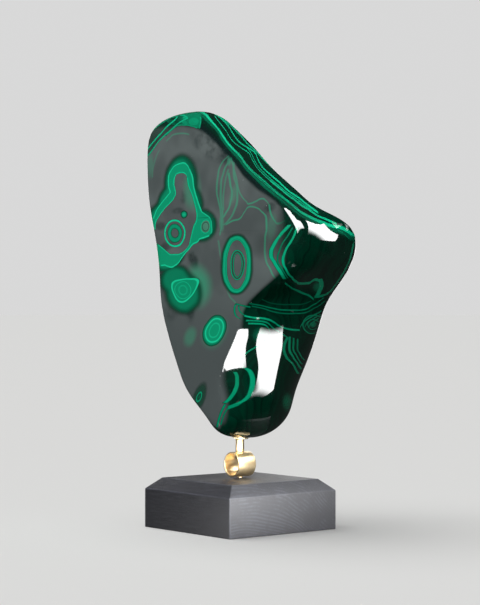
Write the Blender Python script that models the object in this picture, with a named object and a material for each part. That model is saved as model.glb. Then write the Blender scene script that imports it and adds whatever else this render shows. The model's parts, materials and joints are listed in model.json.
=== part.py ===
"""A free-form polished malachite on a brass post and a square block of dark wood.

The frame: the origin is the middle of the block's underside, Z is up, and the stone's flat
polished face and the mouth of the brass tube look along -Y. Sizes are in millimetres and are
multiplied by MM, because Blender works in metres.
"""
import math

import bmesh
import bpy
import numpy as np
from mathutils import Matrix, Vector
from mathutils.bvhtree import BVHTree

MM = 0.001
FIT_GAP = 0.35  # the clearance between pieces that touch

# Wooden block
BLOCK_SIDE = 120.0
BLOCK_HEIGHT = 44.0
CHAMFER_IN = 11.0
CHAMFER_DOWN = 9.8
BLOCK_EDGE_ROUND = 0.7

# Brass tube, which lies along Y over the middle of the block
TUBE_OUTER = 22.0
TUBE_WALL = 1.5
TUBE_LENGTH = 19.0
TUBE_EDGE_ROUND = 0.35
FOOT_WIDTH = 5.2
FOOT_HEIGHT = 1.4  # from the block to the tube, clearances included

# Brass stem and cup
STEM_WIDTH = 7.6
CUP_RINGS = (1.9, 3.4, 4.2, 5.2, 6.4, 7.5)  # radii of the saucer's rings of points
CUP_PAD_RINGS = 3  # how many of them stand on the flat pad
CUP_LIP = 0.8
CUP_MIDDLE = 1.2

# Stone: its lowest and highest points, and the plane of its flat face
STONE_LOW = (7.0, 4.0, 79.7)
STONE_HIGH = (-37.0, -19.0, 369.4)
FACE_Y = -30.0
ARRIS_ROUND = 0.7
KNOB_ROUND = 3.6
KNOB_HEIGHT = 250.0
KNOB_SPREAD = 26.0
CROWN_ROUND = 3.6
CROWN_HEIGHT = 347.0
CROWN_SPREAD = 7.0
TIP_ROUND = 3.0
TIP_HEIGHT = 93.0
TIP_SPREAD = 3.5

# The stone's form is drawn by ten long lines that run from its lowest to its highest point.
# Each point of a line is a height, an X and a Y. The two arrises, left and right of the flat
# face, lie in its plane and have no Y. Two more lines, worked out from them, cross the face.
LEFT_ARRIS = ((86, 0), (99, -11), (122, -39), (140, -51), (172, -67), (201, -76.5), (228, -79),
              (255, -84), (287, -93), (320, -97), (340, -97.5), (353, -94), (362, -81))
RIGHT_ARRIS = ((86, 11), (97, 10), (111, 13), (131, 5.5), (142, 9), (153, 18), (165, 26.5),
               (180, 34), (193, 37), (203, 51), (213, 67), (225, 86), (238, 95), (256, 98), (272, 94),
               (287, 78), (313, 39), (333, 14), (352, -10), (362, -24))
RIGHT_FRONT = ((86, 17, -22), (104, 31, -23), (121, 38, -22), (146, 43, -20), (165, 49, -20),
               (183, 57, -18), (202, 60, -12), (212, 77, -14), (224, 98, -15), (238, 111, -13),
               (254, 114, -12), (268, 108, -13), (280, 93, -18), (292, 74, -20), (313, 42, -21),
               (333, 20, -21), (352, -2, -21), (362, -15, -22))
RIGHT = ((86, 26, 2), (104, 43, 4), (121, 50, 6), (146, 56, 7), (165, 60, 8), (183, 65, 9),
         (202, 68, 12), (212, 80, 12), (224, 98, 14), (238, 113, 14), (254, 118, 12),
         (266, 112, 9), (278, 94, 2), (292, 73, -4), (313, 45, -7), (333, 22, -7),
         (352, 2, -11), (362, -12, -15))
RIGHT_BACK = ((86, 20, 22), (104, 25.5, 37), (121, 28.5, 40), (146, 38.5, 44), (165, 45.5, 47.5),
              (183, 53, 48.5), (202, 64, 48.5), (218, 82, 47.5), (234, 96, 45), (249, 104, 40.5),
              (260, 108, 32), (270, 102, 21), (280, 84, 12), (292, 68, 8), (313, 41, 2),
              (333, 16, 2.5), (350, -2.5, -1), (361, -12, -7))
BACK = ((88, 2, 27), (104, 0, 42), (130, -1, 54), (165, 0, 62), (200, 5, 64), (230, 10, 58),
        (260, 2, 42), (290, -18, 22), (320, -34, 9), (350, -38, 0), (361, -36, -8))
LEFT_BACK = ((88, -15, 10), (104, -23, 20), (130, -31, 28), (165, -40, 33), (200, -47, 33),
             (230, -51, 27), (260, -58, 17), (290, -68, 7), (320, -76, 1), (350, -76, -6),
             (361, -63, -12))
LEFT = ((88, -14, -13), (104, -28, -9), (130, -48, -5), (165, -68, -3), (200, -79, -2),
        (230, -83, -3), (260, -87, -6), (290, -95, -9), (320, -98, -12), (345, -92.5, -16),
        (361, -75, -21))

# How far in front of the flat face the stone bulged before it was sawn, on the lines that cross it
LEFT_BULGE = 7.0
RIGHT_BULGE = ((86, 10), (133, 10), (180, 10), (202, 8), (225, 3), (260, 2), (276, 5),
               (290, 9), (333, 9), (362, 6))
LEFT_BULGE_PLACE = 0.33  # share of the way from the left arris to the right one
RIGHT_BULGE_PLACE = 0.68
FULL_BULGE_WIDTH = 40.0
ROUND_END = 0.46

# Small swellings (and hollows, where the height is negative): place, width each way, height
STONE_MIDDLE = (0.0, 5.0, 210.0)
SWELLINGS = (((17, -24, 119), (10, 9, 15), 1.8),
             ((30, -19, 126), (5, 8, 18), -0.9),
             ((20, 30, 150), (26, 20, 34), 1.5),
             ((-20, 20, 300), (22, 16, 18), -1.6),
             ((102, -27, 271), (14, 12, 12), -2.4))

# Rows of faces, and columns between each line and the next. They crowd towards the arrises.
ROWS = 66
COLUMNS = (5, 3, 5, 8, 6, 6, 7, 7, 5, 6)
CROWD_AFTER = (0, 3)
CROWD_BEFORE = (2, 9)
CROWDING = 1.6
CUP_SEGMENTS = 28
POST_SEGMENTS = 28
TUBE_SEGMENTS = 48

# Colour, roughness and metallic value
MALACHITE = ((0.004, 0.105, 0.055), 0.08, 0.0)
BRASS = ((0.80, 0.55, 0.24), 0.24, 1.0)
DARK_WOOD = ((0.028, 0.027, 0.029), 0.5, 0.0)

TUBE_CENTRE_Z = BLOCK_HEIGHT + FOOT_HEIGHT + TUBE_OUTER / 2


def clear_scene():
    """Remove the objects that a new Blender scene starts with."""
    for thing in list(bpy.data.objects):
        bpy.data.objects.remove(thing, do_unlink=True)


def make_material(name, finish):
    """A Principled material from a colour, a roughness and a metallic value."""
    colour, roughness, metallic = finish
    material = bpy.data.materials.new(name)
    material.use_nodes = True
    shader = material.node_tree.nodes["Principled BSDF"]
    shader.inputs["Base Color"].default_value = (*colour, 1.0)
    shader.inputs["Roughness"].default_value = roughness
    shader.inputs["Metallic"].default_value = metallic
    material.diffuse_color = (*colour, 1.0)
    return material


def add_piece(name, bm, material, sharp_angle=35.0):
    """Turn a mesh in millimetres into a named object in metres, shaded smooth."""
    bmesh.ops.scale(bm, vec=(MM, MM, MM), verts=bm.verts)
    mesh = bpy.data.meshes.new(name)
    bm.to_mesh(mesh)
    bm.free()
    mesh.shade_smooth()
    mesh.set_sharp_from_angle(angle=math.radians(sharp_angle))
    mesh.materials.append(material)
    piece = bpy.data.objects.new(name, mesh)
    bpy.context.collection.objects.link(piece)
    return piece


def smooth_line(knots, values, places):
    """Natural cubic spline through the values at the knots, read at the given places."""
    knots = np.asarray(knots, float)
    values = np.asarray(values, float)
    gaps = np.diff(knots)
    count = len(knots)
    matrix = np.eye(count)
    bends = np.zeros(count)
    for i in range(1, count - 1):
        matrix[i, i - 1:i + 2] = (gaps[i - 1], 2 * (gaps[i - 1] + gaps[i]), gaps[i])
        slope_after = (values[i + 1] - values[i]) / gaps[i]
        slope_before = (values[i] - values[i - 1]) / gaps[i - 1]
        bends[i] = 6 * (slope_after - slope_before)
    bends = np.linalg.solve(matrix, bends)
    i = np.clip(np.searchsorted(knots, places) - 1, 0, count - 2)
    after = places - knots[i]
    before = knots[i + 1] - places
    curved = (bends[i] * before ** 3 + bends[i + 1] * after ** 3) / (6 * gaps[i])
    straight_before = (values[i] / gaps[i] - bends[i] * gaps[i] / 6) * before
    straight_after = (values[i + 1] / gaps[i] - bends[i + 1] * gaps[i] / 6) * after
    return curved + straight_before + straight_after


def turn_at(height):
    """The angle, from 0 at the lowest point to pi at the highest, whose cosine is the height."""
    low, high = STONE_LOW[2], STONE_HIGH[2]
    share = (np.asarray(height, float) - low) / (high - low)
    return np.arccos(np.clip(1 - 2 * share, -1, 1))


def height_at(turn):
    """The height of a turn, the other way round."""
    return STONE_LOW[2] + (STONE_HIGH[2] - STONE_LOW[2]) * (1 - np.cos(turn)) / 2


def read_line(points, turns, ends=((STONE_LOW[0], STONE_HIGH[0]), (STONE_LOW[1], STONE_HIGH[1]))):
    """X, and Y where the line has one, of a long line at each turn."""
    knots = [0.0, *turn_at([point[0] for point in points]), math.pi]
    columns = []
    for column in range(1, len(points[0])):
        first, last = ends[column - 1]
        values = [first, *[point[column] for point in points], last]
        columns.append(smooth_line(knots, values, turns))
    return columns


def long_lines(turns):
    """The ten long lines at each turn, as an array of line, row and X or Y."""
    end = 1 - (1 - np.minimum(1, np.sin(turns) / ROUND_END)) ** 2
    pole_y = np.where(turns < math.pi / 2, STONE_LOW[1], STONE_HIGH[1])
    arris_y = pole_y + (FACE_Y - pole_y) * end
    left, = read_line(LEFT_ARRIS, turns)
    right, = read_line(RIGHT_ARRIS, turns)
    width = right - left
    fullness = np.clip(width / FULL_BULGE_WIDTH, 0, 1) * end
    bulge, = read_line(RIGHT_BULGE, turns, ((0, 0),))
    lines = [(left, arris_y),
             (left + width * LEFT_BULGE_PLACE, arris_y - LEFT_BULGE * fullness),
             (left + width * RIGHT_BULGE_PLACE, arris_y - bulge * fullness),
             (right, arris_y)]
    for points in (RIGHT_FRONT, RIGHT, RIGHT_BACK, BACK, LEFT_BACK, LEFT):
        lines.append(read_line(points, turns))
    return np.array(lines)


def row_turns():
    """Turns whose rows are evenly spaced along the longest line, over the knob."""
    fine = np.linspace(0, math.pi, 600)
    x, y = read_line(RIGHT, fine)
    steps = np.sqrt(np.diff(x) ** 2 + np.diff(y) ** 2 + np.diff(height_at(fine)) ** 2)
    along = np.concatenate(([0], np.cumsum(steps)))
    return np.interp(along[-1] * np.arange(1, ROWS) / ROWS, along, fine)


def column_places():
    """Where the columns stand between the ten lines, crowded towards the two arrises."""
    places = []
    for span, count in enumerate(COLUMNS):
        share = np.arange(count) / count
        if span in CROWD_AFTER:
            share = share ** CROWDING
        if span in CROWD_BEFORE:
            share = 1 - (1 - share) ** CROWDING
        places.extend(span + share)
    return np.array(places)


def ring_weights(count, places):
    """Weights of a closed cubic spline that passes through each of the count lines."""
    through = np.zeros((count, count))
    for i in range(count):
        through[i, i] = 4 / 6
        through[i, i - 1] = 1 / 6
        through[i, (i + 1) % count] = 1 / 6
    weights = np.zeros((len(places), count))
    for row, place in enumerate(places):
        i = int(place)
        t = place - i
        shares = ((1 - t) ** 3, 3 * t ** 3 - 6 * t ** 2 + 4, 1 + 3 * t + 3 * t ** 2 - 3 * t ** 3, t ** 3)
        for step, share in enumerate(shares):
            weights[row, (i - 1 + step) % count] += share / 6
    return weights @ np.linalg.inv(through)


def add_swellings(points):
    """Raise or sink the surface round a few places, away from the stone's middle."""
    middle = np.array(STONE_MIDDLE)
    for place, width, height in SWELLINGS:
        away = points - np.array(place)
        share = np.exp(-np.sum((away / np.array(width)) ** 2, axis=-1))
        outward = points - middle
        outward /= np.linalg.norm(outward, axis=-1, keepdims=True)
        points = points + outward * (height * share)[..., None]
    return points


def stone_rows():
    """Rows of points over the whole stone, from its lowest row to its highest."""
    turns = row_turns()
    places = column_places()
    lines = long_lines(turns)
    points = np.einsum("pl,lcr->rpc", ring_weights(len(lines), places), lines)
    heights = height_at(turns)
    knob = np.exp(-((heights - KNOB_HEIGHT) / KNOB_SPREAD) ** 2)
    right_side = np.clip((places - 1.5) / 1.5, 0, 1) * np.clip(6 - places, 0, 1)  # lines 2 to 6
    crown = 1 / (1 + np.exp((CROWN_HEIGHT - heights) / CROWN_SPREAD))
    edge = ARRIS_ROUND + (KNOB_ROUND - ARRIS_ROUND) * np.outer(knob, right_side)
    tip = 1 / (1 + np.exp((heights - TIP_HEIGHT) / TIP_SPREAD))
    edge += ((CROWN_ROUND - ARRIS_ROUND) * crown + (TIP_ROUND - ARRIS_ROUND) * tip)[:, None]
    depth = (points[..., 1] - FACE_Y) / edge
    sawn = FACE_Y + edge * np.logaddexp(0, depth)
    height_column = np.repeat(heights[:, None], len(places), axis=1)
    return add_swellings(np.stack((points[..., 0], sawn, height_column), axis=-1))


def make_stone(material):
    """The malachite, one closed skin over the rows of points."""
    bm = bmesh.new()
    rings = [[bm.verts.new(point) for point in row] for row in stone_rows()]
    lowest = bm.verts.new(STONE_LOW)
    highest = bm.verts.new(STONE_HIGH)
    count = len(rings[0])
    for column in range(count):
        after = (column + 1) % count
        bm.faces.new((lowest, rings[0][after], rings[0][column]))
        bm.faces.new((highest, rings[-1][column], rings[-1][after]))
        for below, above in zip(rings, rings[1:]):
            bm.faces.new((below[column], below[after], above[after], above[column]))
    bmesh.ops.triangulate(bm, faces=bm.faces, quad_method="SHORT_EDGE")
    bmesh.ops.recalc_face_normals(bm, faces=bm.faces)
    underside = BVHTree.FromBMesh(bm)
    return add_piece("malachite_stone", bm, material), underside


def make_cup(material, underside):
    """A thin hammered saucer that follows the underside of the stone, on a flat round pad."""
    bm = bmesh.new()
    rings = []
    for radius in (0.0, *CUP_RINGS):
        ring = []
        for step in range(CUP_SEGMENTS if radius else 1):
            angle = 2 * math.pi * step / CUP_SEGMENTS
            x, y = radius * math.cos(angle), radius * math.sin(angle)
            stone = underside.ray_cast(Vector((x, y, 0)), Vector((0, 0, 1)))[0]
            ring.append((x, y, stone.z - FIT_GAP))
        rings.append(ring)
    pad_z = min(z for ring in rings[:CUP_PAD_RINGS + 1] for x, y, z in ring) - CUP_MIDDLE
    top = [[bm.verts.new(point) for point in ring] for ring in rings]
    bottom = []
    for number, ring in enumerate(rings):
        on_pad = number <= CUP_PAD_RINGS
        bottom.append([bm.verts.new((x, y, pad_z if on_pad else z - CUP_LIP)) for x, y, z in ring])
    for step in range(CUP_SEGMENTS):
        after = (step + 1) % CUP_SEGMENTS
        for side in (top, bottom):
            bm.faces.new((side[0][0], side[1][step], side[1][after]))
            for inner, outer in zip(side[1:], side[2:]):
                bm.faces.new((inner[step], outer[step], outer[after], inner[after]))
        bm.faces.new((top[-1][after], top[-1][step], bottom[-1][step], bottom[-1][after]))
    bmesh.ops.recalc_face_normals(bm, faces=bm.faces)
    return add_piece("brass_cup", bm, material), pad_z


def add_post(name, width, low, high, material):
    """An upright round post between two heights."""
    bm = bmesh.new()
    middle = Matrix.Translation((0, 0, (low + high) / 2))
    bmesh.ops.create_cone(bm, cap_ends=True, segments=POST_SEGMENTS, radius1=width / 2,
                          radius2=width / 2, depth=high - low, matrix=middle)
    return add_piece(name, bm, material)


def make_stem(material, top):
    """The post between the tube and the cup, its lower end hollowed to sit on the tube."""
    stem = add_post("brass_stem", STEM_WIDTH, TUBE_CENTRE_Z, top, material)
    bm = bmesh.new()
    reach = TUBE_OUTER / 2 + FIT_GAP
    across = Matrix.Translation((0, 0, TUBE_CENTRE_Z)) @ Matrix.Rotation(math.pi / 2, 4, "X")
    bmesh.ops.create_cone(bm, cap_ends=True, segments=TUBE_SEGMENTS, radius1=reach, radius2=reach,
                          depth=TUBE_LENGTH, matrix=across)
    cutter = add_piece("stem_hollow_cutter", bm, material)
    cutter.hide_render = True
    cutter.display_type = "WIRE"
    hollow = stem.modifiers.new("Hollow", "BOOLEAN")
    hollow.operation = "DIFFERENCE"
    hollow.object = cutter
    return stem


def make_tube(material):
    """The open brass tube: a wall's cross-section, its corners eased, spun around the bore."""
    bm = bmesh.new()
    outer, inner = TUBE_OUTER / 2, TUBE_OUTER / 2 - TUBE_WALL
    half, ease = TUBE_LENGTH / 2, TUBE_EDGE_ROUND
    section = ((outer, half - ease), (outer - ease, half), (inner + ease, half), (inner, half - ease),
               (inner, ease - half), (inner + ease, -half), (outer - ease, -half), (outer, ease - half))
    corners = [bm.verts.new((radius, along, TUBE_CENTRE_Z)) for radius, along in section]
    sides = [bm.edges.new((corner, corners[i - 1])) for i, corner in enumerate(corners)]
    bmesh.ops.spin(bm, geom=corners + sides, cent=(0, 0, TUBE_CENTRE_Z), axis=(0, 1, 0),
                   angle=2 * math.pi, steps=TUBE_SEGMENTS, use_merge=True)
    bmesh.ops.remove_doubles(bm, verts=bm.verts, dist=0.001)
    bmesh.ops.recalc_face_normals(bm, faces=bm.faces)
    return add_piece("brass_tube", bm, material)


def make_block(material):
    """The wooden block: a square slab whose upper edge slopes in, with every edge eased."""
    bm = bmesh.new()
    straight = BLOCK_HEIGHT - CHAMFER_DOWN
    size = Matrix.Diagonal((BLOCK_SIDE, BLOCK_SIDE, straight, 1))
    bmesh.ops.create_cube(bm, size=1, matrix=Matrix.Translation((0, 0, straight / 2)) @ size)
    upper = [face for face in bm.faces if face.normal.z > 0.9]
    raised = bmesh.ops.extrude_face_region(bm, geom=upper)["geom"]
    bmesh.ops.delete(bm, geom=upper, context="FACES")
    lifted = [item for item in raised if isinstance(item, bmesh.types.BMVert)]
    inward = (BLOCK_SIDE - 2 * CHAMFER_IN) / BLOCK_SIDE
    bmesh.ops.scale(bm, vec=(inward, inward, 1), verts=lifted)
    bmesh.ops.translate(bm, vec=(0, 0, CHAMFER_DOWN), verts=lifted)
    bmesh.ops.bevel(bm, geom=bm.edges, offset=BLOCK_EDGE_ROUND, segments=2, affect="EDGES",
                    profile=0.5)
    bmesh.ops.recalc_face_normals(bm, faces=bm.faces)
    return add_piece("wood_base", bm, material)


def main():
    """Build each piece in its place."""
    clear_scene()
    malachite = make_material("malachite", MALACHITE)
    brass = make_material("brass", BRASS)
    dark_wood = make_material("dark_wood", DARK_WOOD)
    make_block(dark_wood)
    add_post("brass_foot", FOOT_WIDTH, BLOCK_HEIGHT + FIT_GAP,
             TUBE_CENTRE_Z - TUBE_OUTER / 2 - FIT_GAP, brass)
    make_tube(brass)
    stone, underside = make_stone(malachite)
    cup, pad_z = make_cup(brass, underside)
    make_stem(brass, pad_z - FIT_GAP)


main()
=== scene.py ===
"""A polished malachite on a brass post and a block of dark wood: the looks, laid out as an add-on.

The solids come from the frame, in metres, with Z up, the stone's flat face towards -Y and its
knob towards +X. Places of the stone's markings are in millimetres, on an upright drawing plane that
faces the front right corner of the stand: the distance across that plane, and Z.
"""
import json
import math

import bpy
import numpy as np
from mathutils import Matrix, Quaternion, Vector

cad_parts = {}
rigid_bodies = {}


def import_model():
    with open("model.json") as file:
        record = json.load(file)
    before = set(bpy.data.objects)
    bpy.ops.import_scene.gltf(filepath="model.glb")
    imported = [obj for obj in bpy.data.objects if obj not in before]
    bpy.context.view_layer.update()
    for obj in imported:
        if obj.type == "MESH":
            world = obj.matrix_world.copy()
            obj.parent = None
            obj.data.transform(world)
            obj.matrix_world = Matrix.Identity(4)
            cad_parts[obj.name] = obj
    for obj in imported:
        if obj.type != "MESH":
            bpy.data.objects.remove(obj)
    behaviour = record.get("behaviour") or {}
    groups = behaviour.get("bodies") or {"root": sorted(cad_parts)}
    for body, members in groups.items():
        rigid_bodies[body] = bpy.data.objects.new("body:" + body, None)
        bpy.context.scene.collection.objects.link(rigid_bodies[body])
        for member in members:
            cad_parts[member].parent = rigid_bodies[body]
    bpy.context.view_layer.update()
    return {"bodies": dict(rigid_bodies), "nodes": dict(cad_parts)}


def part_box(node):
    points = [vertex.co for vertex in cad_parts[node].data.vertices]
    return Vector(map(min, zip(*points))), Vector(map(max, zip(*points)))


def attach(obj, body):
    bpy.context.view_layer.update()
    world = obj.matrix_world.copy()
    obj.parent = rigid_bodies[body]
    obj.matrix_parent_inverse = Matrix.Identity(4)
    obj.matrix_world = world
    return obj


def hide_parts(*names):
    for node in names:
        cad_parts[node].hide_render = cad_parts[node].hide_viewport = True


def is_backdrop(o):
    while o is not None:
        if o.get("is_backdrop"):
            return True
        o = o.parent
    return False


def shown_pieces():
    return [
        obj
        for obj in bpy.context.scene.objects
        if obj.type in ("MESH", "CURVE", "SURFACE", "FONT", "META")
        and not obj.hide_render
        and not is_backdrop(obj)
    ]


bl_info = {
    "name": "Malachite on a stand",
    "version": (1, 0, 0),
    "blender": (4, 5, 0),
    "location": "View3D > Sidebar > Malachite",
    "description": "Finishes a polished malachite, its brass fittings and its dark wood block",
    "category": "Object",
}

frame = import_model()

MM = 0.001
ACROSS = (0.632, 0.775, 0.0)    # along the drawing plane
TOWARDS = (0.775, -0.632, 0.0)  # out of it
WOBBLE = 2.6                    # how unsteadily the markings are drawn
SPECK_COLOUR = (0.55, 0.62, 0.58, 1)
TARNISH_COLOUR = (0.52, 0.30, 0.10, 1)
CLEARANCE = 0.35 * MM           # between pieces that meet
SHARP_EASE = 0.15 * MM          # rounding of the cup's and the foot's edges
POST_EASE = 0.2 * MM            # and of the post's
LYING = (math.pi / 2, 0, 0)     # the turn that lays a cylinder along Y

# Ringed eyes on the flat face: centre, half sizes, tilt in degrees, and brightness at each share of
# the half size
FACE_EYES = (
    ((-58.3, 261), (9.4, 11.5), 0, ((0, 0), (0.26, 0), (0.36, 0.4), (0.45, 0.62), (0.62, 0.64),
        (0.72, 0.4), (0.82, 0), (0.9, 0.05), (0.97, 0.92), (1.04, 0.9), (1.12, 0.05), (1.25, 0))),
    ((-49.3, 277.2), (2.7, 2.9), 0, ((0, 0.76), (0.5, 0.7), (1, 0.4), (1.4, 0))),
    ((-22, 174.4), (7.3, 11), 24, ((0, 0.66), (0.5, 0.66), (0.6, 0.8), (0.7, 0.66), (0.9, 0.68), (1, 0.96),
        (1.09, 0.66), (1.25, 0.5), (1.4, 0))),
    ((-35.7, 115.7), (3.6, 9), 20, ((0, 0.5), (0.3, 0.36), (0.5, 0.66), (0.65, 0.34), (1.2, 0.3), (1.9, 0))),
)

# Soft greens that the painted reflection on the face shows through: centre, half sizes, tilt and strength
FACE_HAZES = (((-38, 213), (17, 24), 0, 0.55), ((-22, 173), (13, 19), 24, 0.45),
    ((-44.2, 168.5), (7.5, 12), 20, 0.3), ((-31, 264), (12, 14), 0, 0.4), ((-42, 300), (10, 24), 0, 0.4),
    ((-81.8, 323.8), (4.4, 15), 0, 0.22), ((-5.9, 292), (4, 12), 14, 0.22),
    ((-9.2, 320.8), (2.4, 5), 0, 0.42), ((-15.4, 268), (3, 10), 0, 0.36), ((27, 262), (5.5, 15), 8, 0.2),
    ((4, 190), (4.5, 9), 12, 0.22))

# Dark clouds in the painted reflection, where it is left out and the dark stone shows: centre, half sizes,
# tilt and strength
FACE_REFLECTION_GAPS = (((-27, 336), (22, 12), 42, 0.95), ((-15, 327), (12, 10), 40, 0.85),
    ((-50, 293), (4.5, 8), 0, 0.6), ((-55, 281), (8, 4), 0, 0.45), ((-72, 268), (7, 6), 0, 0.55),
    ((-66, 250), (9, 6), -30, 0.5), ((-41, 237), (6, 12), -20, 0.75), ((-44, 192), (6, 14), 0, 0.55),
    ((-62, 190), (10, 10), 20, 0.45), ((-70, 222), (5, 16), 0, 0.4), ((26, 279), (8, 5), -30, 0.6),
    ((-78, 346), (7, 9), 0, 0.35))

# The keyhole-shaped island: the upper and lower outlines of its green border and of itself, as Z at
# each distance across, the bright lines along them, and ovals for the soft halo around them
BORDER_TOP = ((-79.6, 271.1), (-75.7, 281.4), (-70.9, 287.9), (-65, 295.7), (-63.9, 300.1), (-63.7, 311.3),
    (-61.1, 318.9), (-56.8, 322.3), (-51.5, 323.3), (-47.6, 321.5), (-43.8, 316.3), (-41.5, 309.5),
    (-40.6, 302.9), (-39.3, 296.2), (-37.6, 289.5), (-35.9, 282.8), (-34.4, 278.3), (-31, 276.3),
    (-27.3, 273.4), (-25.2, 268.4), (-24.5, 260.3))
BORDER_LOW = ((-79.6, 231), (-71.3, 232.8), (-68.5, 232.8), (-65.4, 231.6), (-61.5, 230.7), (-58.4, 232.2),
    (-55.3, 234.7), (-52.2, 238.7), (-49.2, 242.3), (-45.3, 246.6), (-41.5, 250.8), (-37, 252.5),
    (-34.8, 255), (-31, 256.3), (-26.6, 257.9), (-24.5, 260.3))
ISLAND_TOP = ((-79.6, 262), (-76.3, 271.7), (-73.3, 276.8), (-68.5, 282.5), (-62.3, 288.9), (-59.3, 292.8),
    (-58.4, 298.3), (-58.1, 309.4), (-56.5, 313.7), (-51.8, 314.9), (-48.4, 313.8), (-46.1, 310.3),
    (-45, 303.9), (-43.7, 298.7), (-41.5, 292.7), (-40, 286.7), (-38.9, 280), (-38.2, 273.4))
ISLAND_LOW = ((-79.6, 257.5), (-73.9, 251.5), (-68.5, 247), (-65.4, 243.9), (-61.5, 241.8), (-56.8, 241.9),
    (-52.2, 243.1), (-47.6, 246.6), (-44.6, 251.1), (-42.7, 257.5), (-41.2, 263.3), (-39.7, 267.6),
    (-38.2, 273.4))
ISLAND_LINES = (
    ("z", 0.55, 0.92, ((-78.4, 274.8), (-75.7, 281.4), (-70.9, 287.9), (-64.2, 296.4), (-62.6, 298.6),
        (-63.7, 302.4), (-63.9, 306.1), (-63.8, 312.1), (-62.7, 315.7), (-59.9, 319.8))),
    ("u", 0.6, 0.92, ((-61.1, 318.9), (-56.8, 322.3), (-51.5, 323.3), (-47.6, 321.5), (-43.7, 316.3))),
    ("z", 0.6, 0.9, ((-44.6, 318.2), (-41.5, 309.5), (-40.8, 302.9), (-39.7, 296.2), (-37.8, 289.5),
        (-35.9, 282.8), (-34.2, 278.2))),
    ("u", 0.6, 0.86, ((-34.9, 278.9), (-31, 276.3), (-27.3, 273.4), (-25.2, 269.1))),
    ("z", 0.55, 0.8, ((-25.8, 270.9), (-25, 266.2), (-24.7, 262.5), (-25.7, 258.9))),
    ("u", 0.7, 0.92, ((-72.2, 231.9), *BORDER_LOW[1:15])),
    ("z", 0.5, 0.86, ((-77.2, 265), *ISLAND_TOP[1:5],
        (-59, 293.1), (-57.6, 297.1), (-58.1, 301.2), (-59, 305.7), (-58.8, 309.4), (-56.8, 313.7))),
    ("u", 0.55, 0.86, ((-58, 312), (-56.1, 314), (-51.8, 314.9), (-48.4, 313.8), (-45.9, 310.3))),
    ("z", 0.5, 0.82, ((-46.3, 310.7), (-45.2, 303.9), (-43.7, 298.7), (-41.5, 292.7), (-40, 286.7),
        (-38.8, 280), (-38.2, 274.9), (-38.5, 271.2), (-40, 266.9), (-41.5, 260.4), (-43.7, 253.9),
        (-44.6, 251.1))),
    ("u", 0.55, 0.84, (*ISLAND_LOW[1:8], (-43.7, 252))),
)
ISLAND_HALO = (((-52.2, 306), (10.8, 17.2)), ((-53.5, 285.5), (16.3, 17.9)), ((-67.3, 258.3), (17, 25)),
    ((-33.8, 266.7), (9.3, 9.6)))
BORDER_HOLE = ((-30.3, 265.8), (3.9, 5.6))

# The shield-shaped eye: its middle, its sides, each a direction and how far out the side lies, and
# ovals for its rings and its halo
SHIELD_CENTRE = (-50, 210)
SHIELD_SIDES = (((-0.07, 1), 9.6), ((-0.955, -0.296), 10.2), ((0.86, -0.51), 9.6), ((0.15, -0.99), 12))
SHIELD_RINGS = ((-50.7, 210), (7.9, 7.7))
SHIELD_HALO = (((-58, 219), (17, 16)), ((-50, 207), (19, 20)))

# The long eye: centre and half sizes of its outer ring, and of the rings inside
LONG_EYE = ((-2.8, 231.7), (10.6, 22.8))
LONG_EYE_RINGS = ((-2.3, 231.5), (5.9, 12.5))

# Lower edge of the green under the crown
CROWN_LOW = ((-85.2, 333.5), (-77.2, 340.6), (-71.7, 346.4), (-64.6, 350.9), (-56.8, 355.1),
    (-52.2, 357.1), (-47.6, 357.1), (-43.1, 355.9), (-37, 353.1), (-34, 354.9))

# Upper edge of the painted reflection: a grey laid into the colour of the flat face in place of a soft
# lamp's mirrored light
PAINTED_REFLECTION_EDGE = ((-90, 358), (-75, 358.5), (-62, 358), (-55, 357.5), (-48, 357), (-35.2, 352), (-22.7, 340.4),
    (-7.8, 323.3), (8.5, 302.2), (26.9, 287.3), (38.4, 276.6), (60, 262))

# Green pockets under the crown: centre, half sizes, tilt and brightness
POCKETS = (((-40.5, 359.6), (6.6, 5.2), 8, 0.62), ((-49, 359.6), (5, 2.6), 30, 0.6),
    ((-62, 361), (7.5, 2.6), 32, 0.42), ((-48.5, 363.8), (3.2, 1.8), 15, 0.66),
    ((-43, 366.6), (9, 1.8), -4, 0.46))
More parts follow.
